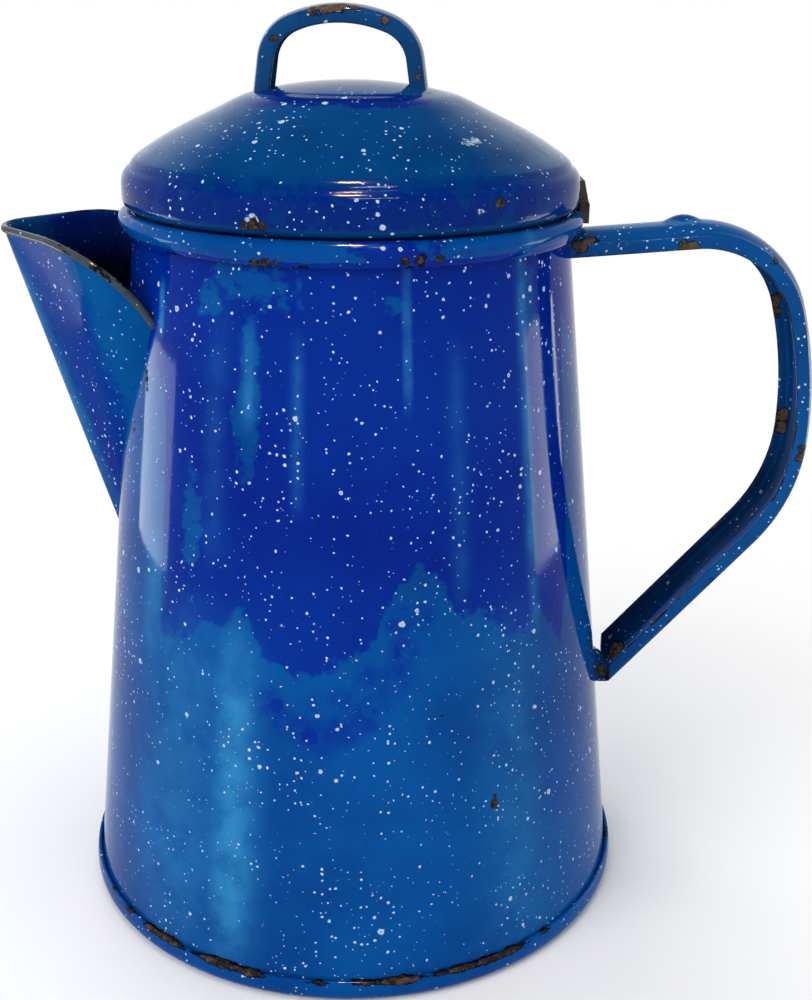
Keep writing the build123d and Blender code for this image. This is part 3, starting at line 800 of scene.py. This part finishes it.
def handle_foot():
    """Small foot that the strap's lower end is joined to the wall by."""
    low, high = cut_end[1] + 1.2, cut_end[1] + 7.2
    web = cut_end - down * 1.1 + np.array([down[1], -down[0]]) * 0.66
    outline = [(wall_radius(low) - 0.9, low), web, (cut_end[0], web[1] + 2 * HANDLE_SHEET),
               (cut_end[0], high - HANDLE_FOOT_GAP), (wall_radius(high), high), (wall_radius(high) - 0.9, high)]
    count = len(outline)
    points = [(x, y, z) for y in (-FOOT_HALF_WIDTH, FOOT_HALF_WIDTH) for x, z in outline]
    faces = [tuple(range(count)), tuple(range(2 * count - 1, count - 1, -1))]
    faces += [(i, (i + 1) % count, count + (i + 1) % count, count + i) for i in range(count)]
    obj = mesh_object("handle_foot", points, faces)
    with edited(obj) as bm:
        bmesh.ops.recalc_face_normals(bm, faces=bm.faces)
        bmesh.ops.bevel(bm, geom=bm.edges[:], offset=0.5 * MM, segments=3, affect="EDGES", profile=0.5)
    obj.data.shade_smooth()
    obj.data.materials.append(strap_enamel)
    return obj


foot = handle_foot()

lean, top_turn = math.radians(LOOP_LEAN), math.radians(LOOP_TOP_TURN)
bend_x = LOOP_MIDDLE - LOOP_BOW * math.sin(top_turn) - LOOP_BEND * (math.cos(lean) - math.sin(top_turn))
bend_z = (LID_TOP + LOOP_RISE - LOOP_BOW * (1 - math.cos(top_turn))
          - LOOP_BEND * (math.cos(top_turn) - math.sin(lean)))
side_bend = (LOOP_BEND, 90 - LOOP_LEAN - LOOP_TOP_TURN)
loop_path, _ = path_of((bend_x - LOOP_LEG * math.sin(lean), bend_z - LOOP_LEG * math.cos(lean)), 90 - LOOP_LEAN,
                       ((LOOP_LEG, 0), side_bend, (LOOP_BOW, 2 * LOOP_TOP_TURN), side_bend, (LOOP_LEG, 0)),
                       0.5)
loop = strap("loop_strap", loop_path, strap_section(LOOP_WIDTH, LOOP_DEPTH, 1.0, 1.6, SHEET), loop_enamel)

# Where each piece is deep or pale and worn, and where shade and reflections are painted on it

# The line where the deep glaze ends, as angles from the front and heights
LINE_ANGLES = [-180, -150, -120, -90, -56, -47.5, -46, -45.4, -43.4, -34.8, -32.4, -26.6, -23.2,
               -20.1, -18.0, -14.8, -11.3, -5.4, 0.2, 3.7, 7.3, 8.4, 13.1, 15.6, 20.5, 22.9,
               25.3, 33.7, 38.0, 43.2, 47.1, 55, 60, 64, 90, 120, 150, 180]
LINE_HEIGHTS = [90, 72, 110, 170, 170, 165, 130, 82, 80.7, 82.7, 85.2, 86.6, 90.5,
                88.6, 85.3, 81.3, 78.5, 79.0, 80.6, 83.7, 87.8, 92.7, 97.2, 101.8, 100.2, 94.9,
                90.6, 86.3, 82.5, 83.5, 86.3, 74, 90, 150, 120, 82, 96, 90]
# Drops and thin runs of the deep glaze under the line: angle, height and radius
POOLS = ((-13.9, 70.3, 1.6), (-7.3, 64.5, 1.8), (11.0, 83.0, 1.2), (6.5, 70.0, 1.4))
VEILS = ((-15.7, 71.0, 4.5), (-12.0, 67.1, 4.5), (-8.9, 65.5, 5.0), (-4.3, 64.0, 5.5), (0.4, 66.3, 5.5),
         (4.4, 69.0, 5.5), (8.6, 73.5, 5.0), (11.3, 78.0, 5.0), (12.9, 83.6, 5.0), (11.8, 90.5, 5.0),
         (5.0, 78.0, 4.0), (17.0, 91.0, 4.0), (-0.6, 73.1, 4.0), (-6.8, 72.0, 3.5))
# Pale patches in the deep glaze: angle, height, half length and half width
PATCHES = ((-21, 160.5, 3.6, 8.0), (-33, 157.0, 3.0, 4.0), (-21.5, 147, 7, 1.8), (-22, 133, 8, 2.4),
           (-36, 104, 12, 2.0), (10.5, 156.5, 2.0, 3.0), (49, 152, 9, 2.0))
# Painted reflections, as soft pale upright streaks over both glazes: angle, height, half length, half width and
# strength
STREAKS = ((-49.5, 152, 6, 0.9, 0.9), (-21.5, 141, 10, 1.6, 0.55), (-10, 132, 17, 1.2, 0.4),
           (-38, 45, 42, 13, 0.35), (-23.5, 45, 38, 4.8, 0.95), (14.5, 150, 14, 0.7, 0.7),
           (46, 128, 45, 1.6, 0.6), (-48, 88, 16, 4, 0.5), (38, 45, 40, 8, 0.3), (-30, 130, 28, 3, 0.15),
           (26, 120, 26, 2.0, 0.2))
# Wear round the rolled rim's edge and the foot's seam, as angles and amounts
RIM_ANGLES = [-180, -30, -24, -10, 5, 10, 24, 30, 180]
RIM_WEAR = [0.75, 0.75, 0.9, 0.85, 0.72, 0.85, 0.9, 0.72, 0.75]
SEAM_ANGLES = [-180, -60, -50, -42, -20, -8, 0, 8, 35, 48, 60, 180]
WALL_SEAM_WEAR = [0.6, 0.6, 0.9, 1.15, 1.1, 0.8, 1.05, 1.1, 1.05, 0.7, 0.6, 0.6]
PAN_SEAM_WEAR = [0.6, 0.6, 0.9, 1.15, 1.05, 0.7, 0.9, 1.05, 1.0, 0.6, 0.6, 0.6]
# Radii at which the drops, the patches by the rim and the streaks lie, to turn angles into millimetres
DROP_RADIUS, PATCH_RADIUS, STREAK_RADIUS = 60, 52, 58


def places_round_axis(obj):
    """Angles from the front towards the handle in degrees, heights and radii."""
    x, y, z = points_of(obj).T
    return np.degrees(np.arctan2(x, -y)), z, np.hypot(x, y)


def nearness(distance, reach):
    """1 at no distance, falling to 0 at the reach."""
    return np.clip(1 - distance / reach, 0, 1)


def finish_wall(obj):
    """Deep glaze above the line, its patches and drops, painted reflection streaks, painted shade inside and
    worn rim and foot.
    """
    angle, z, radius = places_round_axis(obj)
    pool = z - np.interp(angle, LINE_ANGLES, LINE_HEIGHTS)
    veil = streak = np.zeros(len(z))

    def depth_in(drop):
        return drop[2] - np.hypot(np.radians(angle - drop[0]) * DROP_RADIUS, z - drop[1])

    for drop in POOLS:
        pool = np.maximum(pool, 3 * depth_in(drop))
    for drop in VEILS:
        veil = np.maximum(veil, np.clip(depth_in(drop) / 2.5, 0, 1))
    for a, height, half_length, half_width in PATCHES:
        away = np.hypot(np.radians(angle - a) * PATCH_RADIUS / half_width, (z - height) / half_length)
        pool = np.minimum(pool, 3 * (away - 0.95))
    beside_spout = (angle < -44) & (angle > -80)
    pool = np.where(beside_spout, np.maximum(pool, 0.5 * (z - 139)), pool)
    inside = radius < wall_radius(z) - 0.5
    pool = np.where(z > NECK_HEIGHT + 1.5, -3.5 + 3.5 * np.sin(np.radians(3 * angle + 40)), pool)
    pool = np.where(inside & (z < NECK_HEIGHT), 6.0, pool)
    # Painted reflections: soft pale upright streaks over the glazes
    for a, height, half_length, half_width, strength in STREAKS:
        across = np.radians(angle - a) * STREAK_RADIUS / half_width
        ends = np.clip(1.4 - ((z - height) / half_length) ** 2, 0, 1)
        streak = np.maximum(streak, strength * np.exp(-across ** 2) * ends)
    hem = rim_face(SHEET / 2)[-1]
    edge = np.interp(angle, RIM_ANGLES, RIM_WEAR) * nearness(np.hypot(radius - hem[0], z - hem[1]), 2.4)
    edge = np.maximum(edge, 0.45 * nearness(np.abs(z - RIM), 0.7))
    seam = np.interp(angle, SEAM_ANGLES, WALL_SEAM_WEAR)
    edge = np.maximum(edge, seam * nearness(z - 4.2, 3.6) * (z > 4))
    # Painted shade darkens the inside of the pot
    store(obj, pool=pool, veil=0.75 * veil, streak=streak, edge=edge, stain=np.where(inside, 0.6, 0.0))


def finish_pan(obj):
    """Pale bead with a worn seam above it, deep under the base, and painted shade on the floor, inside and
    under.
    """
    angle, z, radius = places_round_axis(obj)
    seam = np.interp(angle, SEAM_ANGLES, PAN_SEAM_WEAR)
    floor_radius = 60
    edge = np.where(radius > floor_radius, seam * nearness(np.abs(z - BEAD_HEIGHT), 2.4), 0)
    edge = np.maximum(edge, np.where(z < 0.2, 0.8 * nearness(np.abs(radius - 66), 5), 0))
    # Painted shade on the pan's floor, inside the pot and under it
    store(obj, pool=np.where(radius < FOOT_RADIUS - 1.2, 4.0, -6.0), edge=edge,
          stain=np.where(radius < floor_radius, 0.5, 0.0))


def finish_lid(obj):
    """Teal dome, with a painted loop reflection, painted grey and pale reflections, and painted shade round its
    side and skirt.
    """
    angle, z, radius = places_round_axis(obj)
    # Painted reflection of the loop: a deep patch in a ring round it
    patch = 8 - 2.2 * np.abs(radius - 22.9) - 0.3 * np.clip(np.abs(angle + 20) - 45, 0, None)
    # Painted shade and reflection: a dark band round the lid's side, strongest at the front
    band = np.clip(z - 171.3, 0, 1) * np.clip((182.0 - z) / 4.5, 0, 1)
    shoulder = (radius > 22) & (radius < 49)
    # Painted reflections: grey on the shoulder at the sides and back, pale on the top disc; painted shade on
    # the skirt inside the pot
    store(obj, pool=np.where(z < LID_SEAT - 0.5, 5, np.where(radius > 46, -6, patch)),
          veil=1.6 * band * np.clip(1.5 - np.abs(angle) / 75, 0.3, 1) * (radius > 44),
          streak=(0.25 * nearness(radius, DISC_RADIUS) * (z > 194)
                  + 0.8 * np.clip((np.abs(angle) - 35) / 50, 0, 1) * shoulder),
          edge=np.maximum(0.4 * nearness(np.abs(z - LID_SEAT), 0.8),
                          0.9 * nearness(np.abs(z - SKIRT_END), 1.2)),
          stain=np.where(z < LID_SEAT - 0.8, 0.5, 0.0))


def finish_spout(obj):
    """Deep ridge down the middle of each flank, a painted highlight at the crease, and painted shade inside
    below the lip.
    """
    x, y, z = points_of(obj).T
    normals = np.empty(len(x) * 3, np.float32)
    obj.data.vertices.foreach_get("normal", normals)
    normals = normals.reshape(-1, 3)
    inside = (normals[:, 0] * (x + 45) + normals[:, 1] * y) < 0
    depth = lip_height(x) - z
    ridge = -56.0 - 11.0 * (z - 118) / 40
    crease = nearness(np.abs(np.abs(y) - 3.0 - 0.04 * (z - 100)), 5)
    # Painted highlight along the crease; painted shade inside, deeper below the lip
    store(obj, pool=7.0 - 0.9 * np.abs(x - ridge) - 0.25 * np.clip(112 - z, 0, None),
          streak=0.7 * crease * np.clip((159 - z) / 6, 0, 1) * np.clip((z - 95) / 30, 0, 1),
          edge=0.7 * nearness(depth, 1.4), stain=np.where(inside, np.clip(0.3 + depth / 18, 0.3, 0.96), 0.0))


def finish_strap(obj, path, half_width, wear, soot):
    """Painted grey reflection along the crown, edges worn by an amount, and painted shade in the channel, more
    lower down.
    """
    points = points_of(obj)
    step = np.abs(points[:, None, [0, 2]] - path[None])
    away = np.sqrt((step ** 2).sum(2)).min(1)
    across = np.abs(points[:, 1])
    lower = np.clip((130 - points[:, 2]) / 30, 0, 1)
    in_channel = (away > 1.4) & (across < half_width - 0.6)
    # Painted reflection along the crown, painted shade in the channel
    store(obj, pool=-6 + 6 * np.sin(points[:, 2] / 9) * np.sin(points[:, 0] / 11), streak=0.8 * (away < 0.4),
          edge=wear * np.maximum(nearness(np.abs(away - away.max()), 1.2),
                                 0.5 * nearness(half_width - across, 0.8)),
          stain=soot * np.where(in_channel, 0.15 + 0.6 * lower, 0))


finish_wall(wall)
finish_pan(pan)
finish_lid(dome)
finish_spout(spout)
finish_strap(handle, handle_path, HANDLE_WIDTH / 2, 0.8, 0.85)
finish_strap(foot, handle_path, FOOT_HALF_WIDTH, 0.8, 0.6)
finish_strap(loop, loop_path, LOOP_WIDTH / 2, 0.62, 0.3)
store(lip, streak=0.3, edge=0.66)

for node, finish in (("rim_hinge_bracket", black_iron), ("lid_hinge_strap", black_iron),
                     ("hinge_pin", pin_steel)):
    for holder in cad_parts[node].material_slots:
        holder.material = finish

for piece, body, node, slot in ((wall, "pot", "body_wall", "pot_enamel"),
                                (pan, "pot", "bottom_pan", "pot_enamel"),
                                (spout, "pot", "spout", "pot_enamel"), (lip, "pot", "spout", "pot_enamel"),
                                (handle, "pot", "handle", "handle_enamel"),
                                (foot, "pot", "handle", "handle_enamel"),
                                (dome, "lid", "lid", "lid_enamel"), (loop, "lid", "lid_loop", "lid_enamel")):
    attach(piece, body)
    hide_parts(node)

# Floor, light and camera

scene = bpy.context.scene
scene.view_settings.view_transform = "Standard"


def seen_directly(tree):
    """Share that is 1 for what the camera, gloss and glass see."""
    kinds = add_node(tree, "ShaderNodeLightPath").outputs
    seen = kinds["Is Camera Ray"]
    for kind in ("Is Glossy Ray", "Is Transmission Ray"):
        seen = add_node(tree, "ShaderNodeMath", [seen, kinds[kind]], operation="MAXIMUM")
    return seen


def pale_floor():
    """Pale floor that keeps the pot's shadow and runs out into white."""
    corners = [(FLOOR_REACH * x, FLOOR_REACH * y, FLOOR_LEVEL) for x, y in ((-1, -1), (1, -1), (1, 1), (-1, 1))]
    floor = mesh_object("floor", corners, [(0, 1, 2, 3)])
    material, tree, place = new_finish("pale_floor")
    add = partial(add_node, tree)
    away = add("ShaderNodeVectorMath", [place], operation="LENGTH")
    far = add("ShaderNodeMapRange", [away, 0.09, 0.32], **SOFT)
    share = add("ShaderNodeMath", [far, seen_directly(tree)], operation="MULTIPLY")
    matt = add("ShaderNodeBsdfDiffuse", {"Color": linear("#F8F8F8")})
    white = add("ShaderNodeEmission", {"Color": (1, 1, 1, 1), "Strength": 1.0})
    add("ShaderNodeOutputMaterial", {"Surface": add("ShaderNodeMixShader", [share, matt, white])})
    floor.data.materials.append(material)


def plain_air():
    """White air for the camera, white walls under a dim ceiling for gloss, and soft light all round."""
    world = bpy.data.worlds.new("air")
    world.use_nodes = True
    tree = world.node_tree
    tree.nodes.clear()
    add = partial(add_node, tree)
    rise = add("ShaderNodeSeparateXYZ", [add("ShaderNodeTexCoord").outputs["Generated"]]).outputs["Z"]
    walls = add("ShaderNodeMapRange", [rise, 0.35, 0.75, 1.0, 0.15], **SOFT)
    camera_only = add("ShaderNodeLightPath").outputs["Is Camera Ray"]
    background = add("ShaderNodeMath", [walls, camera_only], operation="MAXIMUM")
    strength = add("ShaderNodeMix", [seen_directly(tree), AIR_LIGHT, background], data_type="FLOAT")
    air = add("ShaderNodeBackground", {"Color": (1, 1, 1, 1), "Strength": strength})
    add("ShaderNodeOutputWorld", {"Surface": air})
    scene.world = world


def lamp(name, place, size, power, colour, aim, lights):
    """Lamp of a width and height in metres that faces the pot, and lights it or only shows in its gloss."""
    light = bpy.data.lights.new(name, "AREA")
    light.shape, light.size, light.size_y, light.energy, light.color = "RECTANGLE", *size, power, colour
    obj = linked(name, light)
    obj.location = place
    obj.visible_camera, obj.visible_diffuse, obj.visible_glossy = False, lights, not lights
    obj.rotation_euler = (Vector(aim) - obj.location).to_track_quat("-Z", "Y").to_euler()


FLOOR_REACH, FLOOR_LEVEL, AIR_LIGHT = 4000, -0.05, 0.5
pale_floor()
plain_air()
for name, place, size, power in (("key", (-1.0, -1.1, 1.3), (1.3, 1.3), 17.0),
                                 ("fill", (1.2, -0.8, 0.9), (1.2, 1.2), 3.0),
                                 ("top", (0.0, 0.2, 1.6), (1.2, 1.2), 7.0),
                                 ("back", (-0.5, 1.4, 0.9), (1.2, 1.2), 9.0)):
    lamp(name, place, size, power, (1, 1, 1), (0, 0, 0.1), True)
# What the glassy enamel mirrors: a bright card at each side, and a warm bulb and a narrow lamp overhead
lamp("left_card", (-0.36, 0.065, 0.045), (0.165, 0.11), 0.55, (0.9, 1.0, 1.0), (0, 0, 0.045), False)
lamp("right_card", (0.36, 0.085, 0.05), (0.18, 0.13), 0.75, (0.95, 1.0, 0.95), (0, 0, 0.05), False)
lamp("ceiling_bulb", (-0.01, -0.12, 1.2), (0.12, 0.12), 42.0, (1.0, 0.62, 0.34), (0, -0.05, 0.18), False)
lamp("strip", (0.16, -0.5, 1.0), (0.3, 0.03), 5.0, (1, 1, 1), (0, -0.04, 0.15), False)

# Camera at the photograph's place: 1349 px of focal length over 812 px of width
lens = bpy.data.cameras.new("camera")
lens.sensor_fit, lens.sensor_width, lens.lens = "HORIZONTAL", 36.0, 36.0 * 1349 / 812
camera = linked("camera", lens)
camera.matrix_world = (Matrix.Translation((0.01308, -0.3167, 0.2146))
                       @ Matrix.Rotation(math.radians(90 - 20.43), 4, "X")
                       @ Matrix.Rotation(math.radians(0.57), 4, "Z"))
scene.camera = camera
